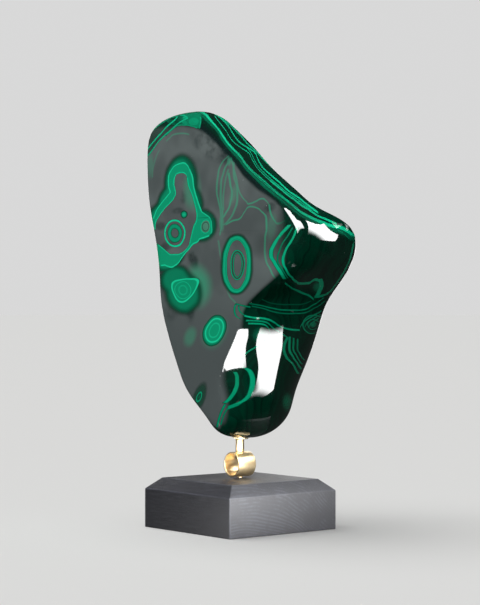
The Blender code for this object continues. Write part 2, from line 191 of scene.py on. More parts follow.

# Thin veins: how they run ("u" gives Z at each distance across, "z" the other way round),
# half width, brightness and points. First those that lie under the painted reflection on the face.
FACE_VEINS = (
    ("z", 0.45, 0.46, ((-9.7, 325.5), (-15.2, 320.1), (-19, 309.5), (-20.2, 298.7), (-18.5, 287.7),
        (-16.3, 276.7), (-15.7, 268), (-17.4, 257.2))),
    ("z", 0.6, 0.46, ((-9.7, 320.7), (-14.1, 311.3), (-16.9, 298.5), (-16.3, 285.4), (-14.7, 274.5),
        (-16, 262))),
    ("z", 0.45, 0.4, ((-9.7, 314.2), (-13.5, 300.4), (-14.7, 289.7), (-14.1, 278.8))),
    ("z", 0.6, 0.56, ((-9.7, 310.9), (-8.7, 300.1), (-7, 292.4), (-8.1, 284.9), (-11.9, 276.5),
        (-14.1, 272.3))),
    ("z", 0.7, 0.46, ((-5.4, 319.2), (-5.4, 308.4), (-2.7, 297.5), (-2.1, 288.8), (-4.3, 279.3),
        (-9.7, 269.9), (-14.7, 265.8))),
    ("z", 0.45, 0.46, ((-7.6, 323.7), (-3.8, 308.3), (-1.6, 297.4), (2.2, 289.6), (6.5, 284.8))),
    ("u", 0.5, 0.56, ((5.8, 285.2), (8, 283.3), (13.8, 285.1), (19, 286.9), (22.2, 285.1), (24.8, 281))),
    ("z", 0.6, 0.62, ((24.9, 281.5), (25.8, 275.5), (27.6, 270.5), (30.2, 266.5))),
    ("u", 0.6, 0.56, ((29.2, 267.2), (32.5, 265), (37.5, 267.4), (40.6, 269.3))),
    ("u", 0.5, 0.56, ((-11.9, 266.7), (-6.4, 269.7), (-0.6, 271), (4.3, 276.6), (9, 280.6),
        (14.9, 279.2), (20.1, 274.6))),
    ("z", 0.55, 0.56, ((19.4, 275.8), (22.9, 268.1), (22.7, 261.8), (21.1, 253.5), (21.1, 242.9),
        (22.2, 234.4), (25.3, 228), (27.4, 222.7), (30.4, 218.5))),
    ("u", 0.5, 0.36, ((-66.7, 344.1), (-63.9, 346.4), (-57.6, 349.4), (-50, 349.3), (-44.8, 348))),
    ("z", 0.5, 0.26, ((-73.2, 336.6), (-77.2, 329.7), (-78.8, 322.6), (-79.7, 312.7))),
    ("z", 0.5, 0.3, ((-19.1, 252.9), (-15.6, 233.7), (-10.4, 209.3), (-3.5, 198.1))),
)

# The bright lines under the crown
CROWN_VEINS = (
    ("u", 0.8, 0.8, ((-85, 338.8), (-77.3, 346.3), (-71.7, 351.7), (-65.4, 357.7), (-59.9, 361.6),
        (-55.6, 365.6))),
    ("u", 0.75, 0.74, ((-85, 333), (-77.3, 340.3), (-73.2, 345.1), (-67.7, 349.8), (-61.5, 354.3),
        (-56.1, 358.2), (-50.7, 361.2), (-45.4, 363.4))),
    ("u", 0.55, 0.66, ((-80, 355.9), (-71.7, 361.1), (-63.9, 364.6), (-54.8, 366.3))),
    ("u", 0.7, 0.7, ((-54.5, 366.8), (-50.3, 366.4), (-45.4, 363.4))),
    ("u", 0.55, 0.62, ((-66.7, 349.3), (-59.9, 354.6), (-53.8, 357), (-47.7, 357), (-41.5, 355.2),
        (-36.8, 353.2))),
    ("z", 0.6, 0.66, ((-35.6, 352.6), (-34.7, 355.5), (-34.3, 359), (-34.6, 363.5))),
)

# Those on the knob, the notch and the lobe
SIDE_VEINS = (
    ("z", 1.9, 0.72, ((41.5, 264), (40.1, 262.1), (34.7, 256), (28.6, 247.2), (26.5, 240.3),
        (29.3, 233.2), (33.4, 225.5), (37.6, 218.6))),
    ("z", 0.6, 0.55, ((44.1, 261.5), (38.8, 252.5), (33.4, 242.9), (31.9, 235.9), (34.7, 228.2),
        (40.4, 219.3))),
    ("z", 1.1, 0.7, ((48.2, 262), (42.8, 249.5), (37.5, 240.7), (36.1, 234.5), (38.8, 226.1),
        (44.6, 218.6))),
    ("u", 1.2, 0.68, ((43, 219.6), (46.6, 217.3), (52.1, 215.3), (59.3, 216), (64.8, 218.6),
        (69.4, 215.4))),
    ("z", 2.4, 0.66, ((68.5, 219.5), (70, 214), (68.5, 208.5), (66.5, 204.5))),
    ("u", 1, 0.6, ((37.8, 215.9), (45.2, 210.4), (52.5, 207.7), (58.5, 205.5), (64, 201.5))),
    ("z", 0.75, 0.66, ((96.4, 252), (95.1, 242.2), (93.2, 233.5), (90.6, 228.2), (86.3, 221.2),
        (79.9, 210.9), (74.6, 205.8))),
    ("u", 1.1, 0.6, ((64, 203.8), (70.3, 204.6), (75.6, 206.8), (80.9, 210.9))),
    ("u", 0.5, 0.52, ((10, 196.2), (19, 193.7), (29.6, 190.4), (39.5, 189.2), (52.1, 190),
        (64.8, 194.5), (74.2, 199.9))),
    ("u", 0.5, 0.56, ((8, 198.5), (14.9, 196.9), (28, 193.7), (39.5, 192.1), (52.9, 192.9),
        (63, 196.9), (72.9, 203.3))),
    ("u", 0.45, 0.4, ((18, 201.5), (28, 198), (41, 196.8), (52.9, 197.6), (62, 200.5))),
    ("u", 0.55, 0.6, ((-3.5, 197.6), (4, 196), (9.5, 195.2))),
    ("z", 0.6, 0.62, ((-3.5, 197.5), (-4.6, 193), (-3.6, 188), (0.5, 184.5))),
    ("z", 0.6, 0.62, ((-1, 196), (-0.5, 192.5), (1.8, 189.3), (6, 187))),
    ("u", 0.8, 0.7, ((3.5, 187.6), (11.6, 185.9), (21.4, 184.7), (29.6, 181.5), (36.2, 177.4),
        (44.6, 175.6), (52.2, 175.6))),
    ("u", 0.65, 0.62, ((5.2, 183.3), (14.9, 183.1), (23.1, 181.5), (27.9, 177.4), (35.4, 172.4),
        (42.1, 168.2))),
    ("u", 0.7, 0.66, ((7.2, 180.7), (16.5, 180.6), (22.2, 179.2), (25.5, 174), (26.2, 169))),
    ("z", 1.3, 0.64, ((41, 169), (38, 160), (39.7, 153.2), (46.6, 144.8), (51.9, 136))),
    ("z", 1.1, 0.66, ((43, 169.9), (42.7, 159.9), (45.6, 152.3), (51.8, 144.6), (54.5, 140.1))),
    ("z", 0.8, 0.62, ((46.3, 169), (46, 159.8), (49.1, 153), (55.2, 145.2))),
    ("z", 0.8, 0.58, ((49.8, 168.5), (49.6, 160.5), (52.6, 154), (58, 148))),
    ("u", 0.75, 0.6, ((52, 176), (53.8, 180.5), (60.6, 186.2), (71.6, 192))),
    ("u", 0.7, 0.58, ((56, 177), (58.5, 181.5), (63.5, 185.2), (71, 189))),
    ("u", 0.7, 0.58, ((59.5, 176.5), (61.5, 180.5), (65, 183.2), (69, 185.6))),
    ("z", 1.2, 0.66, ((15.6, 161.8), (8.6, 157.2), (3.5, 152.8), (1, 147.5), (3.4, 142.6))),
    ("z", 2.6, 0.68, ((4.4, 143.2), (8.9, 139.8), (11, 132), (9.4, 122.5), (5, 115.8), (-2.4, 111.3))),
    ("u", 1.9, 0.6, ((-10.5, 107.6), (-5, 110.2), (0, 112.2), (5.5, 116.6))),
    ("z", 2.1, 0.64, ((-4.6, 139.6), (-2.4, 134.8), (-2.2, 129.8), (-3.4, 124), (-7.5, 117),
        (-13.3, 111.5))),
    ("z", 0.9, 0.6, ((-12.5, 111), (-14.6, 106.5), (-17.6, 98), (-19.8, 89.9))),
    ("z", 0.6, 0.56, ((-9.7, 108.2), (-12.5, 103.2), (-16.6, 92))),
)

# Ringed eyes on the drawing plane
SIDE_EYES = (
    ((64.2, 180.3), (5.2, 4.4), 0, ((0, 0.6), (0.5, 0.5), (0.85, 0.3), (1, 0.62), (1.15, 0.3), (1.7, 0.38),
        (1.85, 0.6), (2, 0.3), (2.6, 0))),
    ((17.5, 170.5), (9, 9.5), 0, ((0, 0.52), (0.3, 0.5), (0.55, 0.4), (0.75, 0.3), (1.3, 0))),
    ((41.8, 111.5), (4.5, 8), 0, ((0, 0.56), (0.6, 0.5), (1.2, 0.25), (2, 0))),
    ((67.5, 212.5), (5.5, 5.5), 0, ((0, 0.52), (0.6, 0.45), (1.3, 0))),
)

# The bright bands over the upper right edge. The first is the lowest; the others lie above it.
RIDGE_BAND = ((-33, 368.4), (-26.7, 361.8), (-22.1, 355.8), (-16.8, 347.3), (-12.3, 340.6), (-5.3, 331.6),
    (0, 325.4), (4.3, 319.3), (11.2, 311), (18.9, 303.4), (27, 296), (33.9, 289.5), (42.8, 282.2),
    (51.5, 275.5), (60.8, 270.2), (70.7, 265.5), (77.1, 263.4), (85.5, 261.8), (96, 256))
RIDGE_VEINS = (
    ("u", 0.45, 0.8, ((-22.3, 364.7), (-16.9, 357), (-12.4, 349.7), (-7.1, 341.6), (0.4, 334.1),
        (7.4, 328.5), (10.4, 322.5), (17, 312.6), (25.8, 303.1), (36.2, 294.6))),
    ("u", 0.95, 0.84, ((25.8, 303.1), (36.2, 294.6), (44.4, 287.6), (51.8, 281.6), (61.1, 276.1),
        (67.7, 271.6), (74.3, 268.5), (82, 264.8))),
    ("u", 0.9, 0.84, ((-20.5, 366.1), (-12.4, 357.6), (-5.5, 346.8), (0.4, 339), (6.1, 334.5),
        (12.2, 329.6), (16.1, 321.8), (20.8, 314.9), (27.5, 307.9), (34.3, 301.3), (42.4, 293.9),
        (49.2, 288.3), (57.2, 281.7), (66.6, 275))),
    ("u", 0.55, 0.72, ((4, 337), (9, 329), (13.4, 320.4), (19.4, 312.4), (27.4, 303.8), (36, 296.6),
        (44.4, 289.8), (52, 283.6), (61, 277.4))),
    ("u", 1, 0.78, ((-24.2, 367.8), (-15.1, 361.4), (-9.7, 356.8), (-3.5, 350.5), (1.2, 345.4),
        (6.3, 338.9), (12.9, 331.5), (19, 325), (27, 317.4), (36, 309))),
    ("u", 0.5, 0.5, ((48, 276.4), (60.8, 267.6), (72, 262.4), (84, 257.8))),
    ("u", 0.6, 0.62, ((84, 263.6), (90, 259.6), (95, 254))),
    ("u", 0.5, 0.58, ((82, 260.4), (88, 256.6), (94, 250.5))),
)

# Less polished spots in the notch, around the knob and at the foot of the lobe: centre, half sizes,
# tilt and strength
DULL_SPOTS = (((32, 198), (66, 19), 0, 1), ((38, 187), (24, 15), 0, 1), ((3, 193), (12, 18), 0, 1),
    ((34, 226), (24, 19), 0, 1), ((52, 237), (22, 18), -35, 1), ((28, 208), (30, 14), 0, 1),
    ((-10, 103), (30, 30), 0, 1), ((86, 271), (22, 14), 0, 1), ((15, 112), (22, 15), 0, 1),
    ((9, 132), (8, 20), -10, 1), ((27, 181), (24, 11), 0, 1), ((96, 260), (11, 15), 0, 1),
    ((62, 250), (22, 8), 32, 1), ((94, 279), (13, 5.5), -30, 1), ((53, 238), (6, 5), 0, 1),
    ((17, 193.5), (7, 6), 0, 1))

# Centres that the bands of the back and the left side grow around, and the size they start from
SHELL_CENTRES = (((-35, 30, 318), 16), ((30, 66, 196), 22), ((-72, 26, 226), 14), ((34, 52, 128), 18),
    ((-30, 34, 140), 16), ((96, 44, 244), 12), ((-8, 58, 252), 14))


def colour_setting(name, description, default):
    """A colour that the panel shows."""
    return bpy.props.FloatVectorProperty(name=name, description=description, subtype="COLOR",
                                         size=3, min=0, max=1, default=default)


def length_setting(name, description, default):
    """A length that the panel shows."""
    return bpy.props.FloatProperty(name=name, description=description, unit="LENGTH",
                                   subtype="DISTANCE", min=0, default=default)


def share_setting(name, description, default):
    """A share between 0 and 1 that the panel shows."""
    return bpy.props.FloatProperty(name=name, description=description, subtype="FACTOR",
                                   min=0, max=1, default=default)


class StoneSettings(bpy.types.PropertyGroup):
    """The stone's colours and polish."""

    darkest: colour_setting("Darkest green", "Colour of the nearly black stone", (0.0012, 0.0045, 0.0042))
    deep: colour_setting("Deep green", "Colour of the broad dark bands", (0.0004, 0.100, 0.050))
    middle: colour_setting("Middle green", "Colour of the fills and halos", (0.0012, 0.275, 0.135))
    bright: colour_setting("Bright green", "Colour of the thin veins and rings", (0.008, 0.660, 0.340))
    # The two greys below are a painted reflection: a soft lamp's mirrored light on the polished flat face,
    # laid into its colour
    painted_reflection: colour_setting(
        "Grey", "Colour of the greyish stone between the marks of the face", (0.118, 0.141, 0.139))
    thin_painted_reflection: colour_setting(
        "Thin grey", "Colour of the darker parts of that grey", (0.072, 0.087, 0.087))
    polish: share_setting("Polish", "Roughness of the polished stone", 0.05)
    refraction: bpy.props.FloatProperty(
        name="Refraction", description="Index of refraction of the stone", min=1, max=3, default=1.75)


class BrassSettings(bpy.types.PropertyGroup):
    """Sizes and colour of the brass fittings."""

    colour: colour_setting("Brass", "Colour of the satin brass", (0.93, 0.74, 0.44))
    satin: share_setting("Satin", "Roughness of the brass", 0.30)
    tube_wall: length_setting("Tube wall", "Wall thickness of the short tube", 1.5 * MM)
    rim_ease: length_setting("Rim ease", "Width of the rounded edges", 0.3 * MM)


class WoodSettings(bpy.types.PropertyGroup):
    """Sizes and colours of the wooden block."""

    stain: colour_setting("Stain", "Colour of the dark stained wood", (0.0100, 0.0104, 0.0135))
    worn: colour_setting(
        "Worn stain", "Colour of the raised grain and eased edges", (0.050, 0.052, 0.066))
    chamfer_in: length_setting("Chamfer in", "How far the upper edge slopes in", 11.0 * MM)
    chamfer_down: length_setting("Chamfer down", "How far the upper edge slopes down", 9.8 * MM)
    edge_round: length_setting("Edge rounding", "Rounding of the block's edges", 0.7 * MM)


class StageSettings(bpy.types.PropertyGroup):
    """The camera and the light."""

    camera_place: bpy.props.FloatVectorProperty(
        name="Camera", description="Place of the camera",
        subtype="TRANSLATION", size=3, default=(1.3117, -1.0695, 0.199))
    lens: bpy.props.FloatProperty(
        name="Lens", description="Focal length in millimetres", min=1, default=114.02)
    floor_colour: colour_setting("Floor", "Colour of the pale floor", (0.78, 0.78, 0.77))
    room_light: bpy.props.FloatProperty(
        name="Room light", description="Strength of the dim light from all round", min=0,
        default=0.035)
    backdrop_light: bpy.props.FloatProperty(
        name="Backdrop", description="Brightness of the pale background", min=0, default=0.69)
    floor_light: bpy.props.FloatProperty(
        name="Floor light", description="Strength of the light on the floor", min=0, default=2.9)


class Wire:
    """A socket in a node tree. Sums, products and the like of wires add Math nodes."""

    def __init__(self, tree, socket=None):
        self.tree = tree
        self.socket = socket

    def node(self, kind, settings=None, sockets=None, output=0):
        """Add any node: its settings first, then the values or links of its sockets."""
        made = self.tree.nodes.new("ShaderNode" + kind)
        for name, value in (settings or {}).items():
            if name == "stops":
                set_stops(made.color_ramp, value)
            elif name == "points":
                set_points(made.mapping, value)
            else:
                setattr(made, name, value)
        for key, value in (sockets or {}).items():
            if isinstance(value, Wire):
                self.tree.links.new(value.socket, made.inputs[key])
            else:
                made.inputs[key].default_value = value
        return Wire(self.tree, made.outputs[output])

    def maths(self, operation, *values):
        """One Math node on this wire and the other values."""
        return self.node("Math", {"operation": operation}, dict(enumerate((self, *values))))

    def vector(self, operation, *values):
        """One Vector Math node on this wire and the other vectors."""
        output = 1 if operation in ("LENGTH", "DISTANCE", "DOT_PRODUCT") else 0
        return self.node("VectorMath", {"operation": operation},
                         dict(enumerate((self, *values))), output)

    def scaled(self, factor):
        """This vector, made longer."""
        return self.node("VectorMath", {"operation": "SCALE"}, {0: self, "Scale": factor})

    def axis(self, number):
        """X, Y or Z of this vector."""
        return self.node("SeparateXYZ", {}, {0: self}, number)

    def place(self):
        """The place of each point in its piece, in millimetres."""
        return self.node("TexCoord", output=3).scaled(1 / MM)

    def into(self, node, name):
        """Link this wire to a socket of a node."""
        self.tree.links.new(self.socket, node.inputs[name])

    def __add__(self, other):
        return self.maths("ADD", other)

    __radd__ = __add__

    def __sub__(self, other):
        return self.maths("SUBTRACT", other)

    def __rsub__(self, other):
        return self.node("Math", {"operation": "SUBTRACT"}, {0: other, 1: self})

    def __mul__(self, other):
        return self.maths("MULTIPLY", other)

    def __truediv__(self, other):
        return self.maths("DIVIDE", other)

    def __abs__(self):
        return self.maths("ABSOLUTE")

    def fade(self, low, high):
        """0 below low and 1 above high, with a smooth step in between."""
        return self.node("MapRange", {"interpolation_type": "SMOOTHSTEP"},
                         {"Value": self, "From Min": low, "From Max": high})

    def curve(self, points):
        """Read a smooth curve, given as pairs of input and output."""
        lows = [min(column) for column in zip(*points)]
        highs = [max(column) for column in zip(*points)]
        spans = [high - low for low, high in zip(lows, highs)]
        shares = [((x - lows[0]) / spans[0], (y - lows[1]) / spans[1]) for x, y in points]
        place = self.node("MapRange", {}, {"Value": self, "From Min": lows[0], "From Max": highs[0]})
        read = self.node("FloatCurve", {"points": sorted(shares)}, {"Value": place})
        return read * spans[1] + lows[1]

    def lighter(self, *others):
        """The largest of several values."""
        result = self
        for other in others:
            result = result.maths("MAXIMUM", other)
        return result

    def mixed(self, first, second):
        """Mix two values, with this wire as the share of the second."""
        return self.node("Mix", {}, {"Factor": self, "A": first, "B": second})

    def mixed_colour(self, first, second):
        """Mix two colours, with this wire as the share of the second."""
        return self.node("Mix", {"data_type": "RGBA"}, {0: self, 6: first, 7: second}, 2)

    def noise(self, scale, detail=2.0, roughness=0.5, output=0):
        """Noise at this place, with so many features for each millimetre."""
        return self.node("TexNoise", {"noise_dimensions": "3D"},
                         {"Vector": self, "Scale": scale, "Detail": detail,
                          "Roughness": roughness}, output)

    def line_noise(self, detail, roughness):
        """Noise along this value."""
        return self.node("TexNoise", {"noise_dimensions": "1D"},
                         {"W": self, "Scale": 1.0, "Detail": detail, "Roughness": roughness})


def set_stops(ramp, stops):
    """Give a colour ramp its stops."""
    while len(ramp.elements) > 1:
        ramp.elements.remove(ramp.elements[-1])
    ramp.elements[0].position = stops[0][0]
    ramp.elements[0].color = (*stops[0][1], 1)
    for position, colour in stops[1:]:
        ramp.elements.new(position).color = (*colour, 1)


def set_points(mapping, points):
    """Give a curve its points."""
    line = mapping.curves[0]
    line.points[0].location = points[0]
    line.points[-1].location = points[-1]
    for x, y in points[1:-1]:
        line.points.new(x, y)
    for point in line.points:
        point.handle_type = "AUTO_CLAMPED"
    mapping.update()


class Drawing:
    """The place on the drawing plane of each point of the stone, with the marks that use it."""

    def __init__(self, start):
        self.place = start.place()
        wobble = self.place.noise(0.045, 1.0, 0.5, 1)
        moved = self.place.vector("ADD", wobble.vector("SUBTRACT", (0.5, 0.5, 0.5)).scaled(WOBBLE))
        self.u = moved.vector("DOT_PRODUCT", ACROSS)
        self.z = moved.axis(2)
        self.y = self.place.axis(1)
        self.flat = start.node("CombineXYZ", {}, {"X": self.u, "Y": self.z})

    def away(self, centre):
        """The way from a centre to each point."""
        return self.flat.vector("SUBTRACT", (*centre, 0))

    def oval(self, centre, half, tilt=0):
        """How far each point is from an oval's centre, as a share of its half size."""
        spot = self.away(centre)
        if not tilt:
            return spot.vector("DIVIDE", (*half, 1)).vector("LENGTH")
        cosine, sine = math.cos(math.radians(tilt)), math.sin(math.radians(tilt))
        first = spot.vector("DOT_PRODUCT", (cosine, -sine, 0)) / half[0]
        second = spot.vector("DOT_PRODUCT", (sine, cosine, 0)) / half[1]
        return (first * first + second * second).maths("SQRT")

    def from_oval(self, centre, half):
        """Distance in millimetres from an oval's outline, negative inside."""
        spot = self.away(centre).vector("DIVIDE", (*half, 1))
        share = spot.vector("LENGTH")
        steepness = spot.vector("DIVIDE", (*half, 1)).vector("LENGTH")
        return (share - 1) * share / steepness.lighter(0.001)

    def blunt(self, centre, sides, blend):
        """Rough distance to the outline of a blunt-cornered shape, given by its straight sides."""
        result = None
        for direction, reach in sides:
            distance = self.away(centre).vector("DOT_PRODUCT", (*direction, 0)) - reach
            result = distance if result is None else result.maths("SMOOTH_MAX", distance, blend)
        return result

    def between(self, low, top, soft):
        """1 between two outlines that give Z at each distance across."""
        above = (self.z - self.u.curve(low)).fade(-soft, soft)
        return above * (1 - (self.z - self.u.curve(top)).fade(-soft, soft))

    def joined_ovals(self, ovals, blend):
        """Rough distance in millimetres to the outline of several ovals, joined."""
        result = None
        for centre, half in ovals:
            distance = (self.oval(centre, half) - 1) * min(half)
            result = distance if result is None else result.maths("SMOOTH_MIN", distance, blend)
        return result

    def soft_ovals(self, ovals):
        """Soft-edged ovals, each fading out from its middle."""
        for centre, half, tilt, strength in ovals:
            yield (1 - self.oval(centre, half, tilt).fade(0.35, 1.0)) * strength

    def vein(self, run, half_width, brightness, points):
        """A thin vein along a curve, faded out at its two ends."""
        here, there = (self.u, self.z) if run == "u" else (self.z, self.u)
        pairs = sorted(points if run == "u" else [(z, u) for u, z in points])
        distance = abs(there - here.curve(pairs))
        low, high = pairs[0][0], pairs[-1][0]
        ends = here.fade(low - 0.8, low + 0.8) * (1 - here.fade(high - 0.8, high + 0.8))
        return (1 - distance.fade(half_width * 0.55, half_width * 1.1 + 0.55)) * ends * brightness


def brightest(marks):
    """The largest of many marks. Each is joined to the others as soon as its nodes are made, so
    that few values have to be held at once."""
    result = None
    for mark in marks:
        result = mark if result is None else result.lighter(mark)
    return result


def island_marks(drawing):
    """The island's green border, with its bright lines, its hole and its halo."""
    within = drawing.between(BORDER_LOW, BORDER_TOP, 0.4)
    island = drawing.between(ISLAND_LOW, ISLAND_TOP, 0.4)
    hole = drawing.oval(*BORDER_HOLE)
    yield within * (1 - island) * hole.fade(0.92, 1.08) * 0.66
    for vein in ISLAND_LINES:
        yield drawing.vein(*vein)
    yield hole.curve(((0, 0.0), (0.5, 0.0), (0.70, 0.30), (0.80, 0.05), (0.92, 0.3), (1.0, 0.86),
                      (1.12, 0.3), (1.2, 0.0)))
    halo = drawing.joined_ovals(ISLAND_HALO, 3.0)
    outside = (1 - island) * hole.fade(0.92, 1.08)
    yield (1 - halo.fade(0.5, 9.0)) * outside * (0.60 - drawing.u.fade(-58.0, -44.0) * 0.12)


def shield_marks(drawing):
    """The shield-shaped eye, its rings and the dark green around it."""
    halo = drawing.joined_ovals(SHIELD_HALO, 5.0)
    yield (1 - halo.fade(-8.0, 4.0)) * 0.56
    shield = drawing.blunt(SHIELD_CENTRE, SHIELD_SIDES, 15.0)
    yield (1 - shield.fade(-0.5, 0.3)) * 0.64
    yield (1 - abs(shield).fade(0.3, 1.2)) * 0.92
    rings = drawing.oval(*SHIELD_RINGS)
    yield (1 - abs(rings - 0.98).fade(0.02, 0.10)) * 0.80
    yield (1 - abs(rings - 0.52).fade(0.06, 0.18)) * 0.72


def long_eye_marks(drawing):
    """The long ringed eye in the middle of the face."""
    outer = drawing.from_oval(*LONG_EYE)
    yield outer.curve(((-2.4, 0.0), (-1.9, 0.35), (-1.5, 0.72), (-0.9, 0.62), (0.0, 0.72), (1.1, 0.68),
                       (1.9, 0.44), (3.4, 0.24), (5.0, 0.0)))
    inner = drawing.from_oval(*LONG_EYE_RINGS)
    yield inner.curve(((-3.2, 0.0), (-2.6, 0.30), (-2.0, 0.68), (-1.4, 0.26), (-0.7, 0.30), (0.0, 0.72),
                       (0.6, 0.20), (1.2, 0.0)))


def face_marks(drawing):
    """The marks that stand out of the painted reflection on the flat face."""
    yield from island_marks(drawing)
    yield from shield_marks(drawing)
    yield from long_eye_marks(drawing)
    for centre, half, tilt, rings in FACE_EYES:
        yield drawing.oval(centre, half, tilt).curve(rings)


def crown_marks(drawing):
    """The green under the crown, with its lines and pockets."""
    crown = (drawing.z - drawing.u.curve(CROWN_LOW)).fade(-0.4, 0.8) * (1 - drawing.u.fade(-34.4, -33.4))
    yield crown * (drawing.u.fade(-62.0, -48.0) * 0.26 + 0.28)
    for vein in CROWN_VEINS:
        yield drawing.vein(*vein)
    for centre, half, tilt, brightness in POCKETS:
        yield (1 - drawing.oval(centre, half, tilt).fade(0.6, 1.05)) * brightness


def soft_marks(drawing):
    """The hazes and veins that lie under the painted reflection on the flat face."""
    yield from drawing.soft_ovals(FACE_HAZES)
    for vein in FACE_VEINS:
        yield drawing.vein(*vein)


def side_marks(drawing):
    """The marks on the knob, the notch and the lobe."""
    for vein in SIDE_VEINS:
        yield drawing.vein(*vein)
    for centre, half, tilt, rings in SIDE_EYES:
        yield drawing.oval(centre, half, tilt).curve(rings)


def ridge_marks(drawing, above):
    """The bands over the upper right edge."""
    for vein in RIDGE_VEINS:
        yield drawing.vein(*vein)
    yield (1 - abs(above).fade(0.9, 2.6)) * 0.90
    yield (1 - abs(above + 3.0).fade(1.0, 6.5)) * 0.47


def shell_bands(drawing):
    """Bands that grow around centres in the stone, for where no marks are drawn."""
    wide = drawing.place.noise(0.022, 2.0, 0.55)
    result = None
    for centre, start in SHELL_CENTRES:
        distance = drawing.place.vector("DISTANCE", centre) - start
        result = distance if result is None else result.maths("SMOOTH_MIN", distance, 9.0)
    growth = result + wide * 26.0
    broad = (growth * 0.13).line_noise(2.0, 0.62)
    fine = (growth * 0.31 + 40.0).line_noise(1.0, 0.5)
    lines = (1 - abs(fine - 0.5).fade(0.008, 0.045)) * 0.75
    return (broad.fade(0.36, 0.66) * 0.70 + 0.12).lighter(lines)


def new_material(name):
    """A new material, its shader and the start of its wires."""
    material = bpy.data.materials.new(name)
    material.use_nodes = True
    return material, material.node_tree.nodes["Principled BSDF"], Wire(material.node_tree)


def make_malachite(settings):
    """Polished malachite: black-green stone with bright bands, rings and veins."""
    material, shader, start = new_material("malachite_polished")
    drawing = Drawing(start)
    drawn = start.node("Attribute", {"attribute_name": "drawn"}, output=2)
    face = 1 - drawing.y.fade(-29.4, -27.6)

    above = drawing.z - drawing.u.curve(RIDGE_BAND)
    on_ridge = above.fade(-9.0, -4.0) * drawing.u.fade(-37.0, -33.0)
    ridge = brightest(ridge_marks(drawing, above))
    cloud = drawing.place.noise(0.05, 3.0, 0.6)
    shells = shell_bands(drawing)
    side = brightest(side_marks(drawing))
    side_tone = side.lighter(shells * 0.30 + 0.03, cloud * 0.3)
    side_tone = on_ridge.mixed(side_tone, ridge.lighter(0.16 + cloud * 0.14))
    front = face.mixed(side_tone, brightest(face_marks(drawing)).lighter(ridge * on_ridge, side))
    front = front.lighter(brightest(crown_marks(drawing)))
    tone = drawn.mixed(shells, front)
    dark, deep, middle, bright = (tuple(colour) for colour in (
        settings.darkest, settings.deep, settings.middle, settings.bright))
    between = tuple(0.5 * (m + b) for m, b in zip(middle, bright))
    green = tone.node("ValToRGB", {"stops": ((0.0, dark), (0.28, tuple(0.3 * part for part in deep)),
                                             (0.46, deep), (0.64, middle), (0.80, between),
                                             (1.0, bright))}, {0: tone})

    # Painted reflection: grey laid over the flat face below its upper edge, with gaps, thinner and darker in
    # patches and towards the bottom, in place of a soft lamp's mirrored light
    painted_reflection_share = (drawing.u.curve(PAINTED_REFLECTION_EDGE) - drawing.z).fade(-1.5, 3.5)
    painted_reflection_share = painted_reflection_share * (1 - brightest(drawing.soft_ovals(FACE_REFLECTION_GAPS)) * cloud.fade(0.30, 0.62))
    thin = drawing.place.noise(0.022, 2.0, 0.6).fade(0.3, 0.7)
    low = 1 - drawing.z.fade(150.0, 290.0)
    grey = thin.lighter(low).mixed_colour((*settings.painted_reflection, 1), (*settings.thin_painted_reflection, 1))
    ground_and_reflection = painted_reflection_share.mixed_colour((*(3 * part for part in dark), 1), grey)
    ground_and_reflection = (brightest(soft_marks(drawing)) * 0.75).mixed_colour(ground_and_reflection, (*between, 1))
    cover = tone.fade(0.05, 0.42).lighter(1 - face * drawn)
    colour = cover.mixed_colour(ground_and_reflection, green)
    specks = start.node("TexVoronoi", {"feature": "F1"}, {"Vector": drawing.place, "Scale": 0.11})
    rare = drawing.place.noise(0.6, 0.0).fade(0.58, 0.66)
    speck = (1 - specks.fade(0.03, 0.06)) * rare * 0.5
    colour = speck.mixed_colour(colour, SPECK_COLOUR)
    colour.into(shader, "Base Color")
    polish = 1 - brightest(drawing.soft_ovals(DULL_SPOTS)) * drawn
    polish.into(shader, "Coat Weight")
    shader.inputs["Coat Roughness"].default_value = settings.polish
    shader.inputs["Coat IOR"].default_value = settings.refraction
    shader.inputs["Roughness"].default_value = 0.5
    shader.inputs["Specular IOR Level"].default_value = 0.0
    return material


def make_brass(settings):
    """Satin brass with faint turning marks and a darker tint in places."""
    material, shader, start = new_material("brass_satin")
    place = start.place()
    tarnish = place.noise(0.22, 3.0, 0.6).fade(0.35, 0.75)
    grain = place.noise(3.0, 2.0, 0.6)
    colour = (tarnish * 0.35).mixed_colour((*settings.colour, 1), TARNISH_COLOUR)
    colour.into(shader, "Base Color")
    (settings.satin + tarnish * 0.08 + grain * 0.05).into(shader, "Roughness")
    bump = start.node("Bump", {}, {"Strength": 0.05, "Distance": 0.0001, "Height": grain})
    bump.into(shader, "Normal")
    shader.inputs["Metallic"].default_value = 1.0
    return material


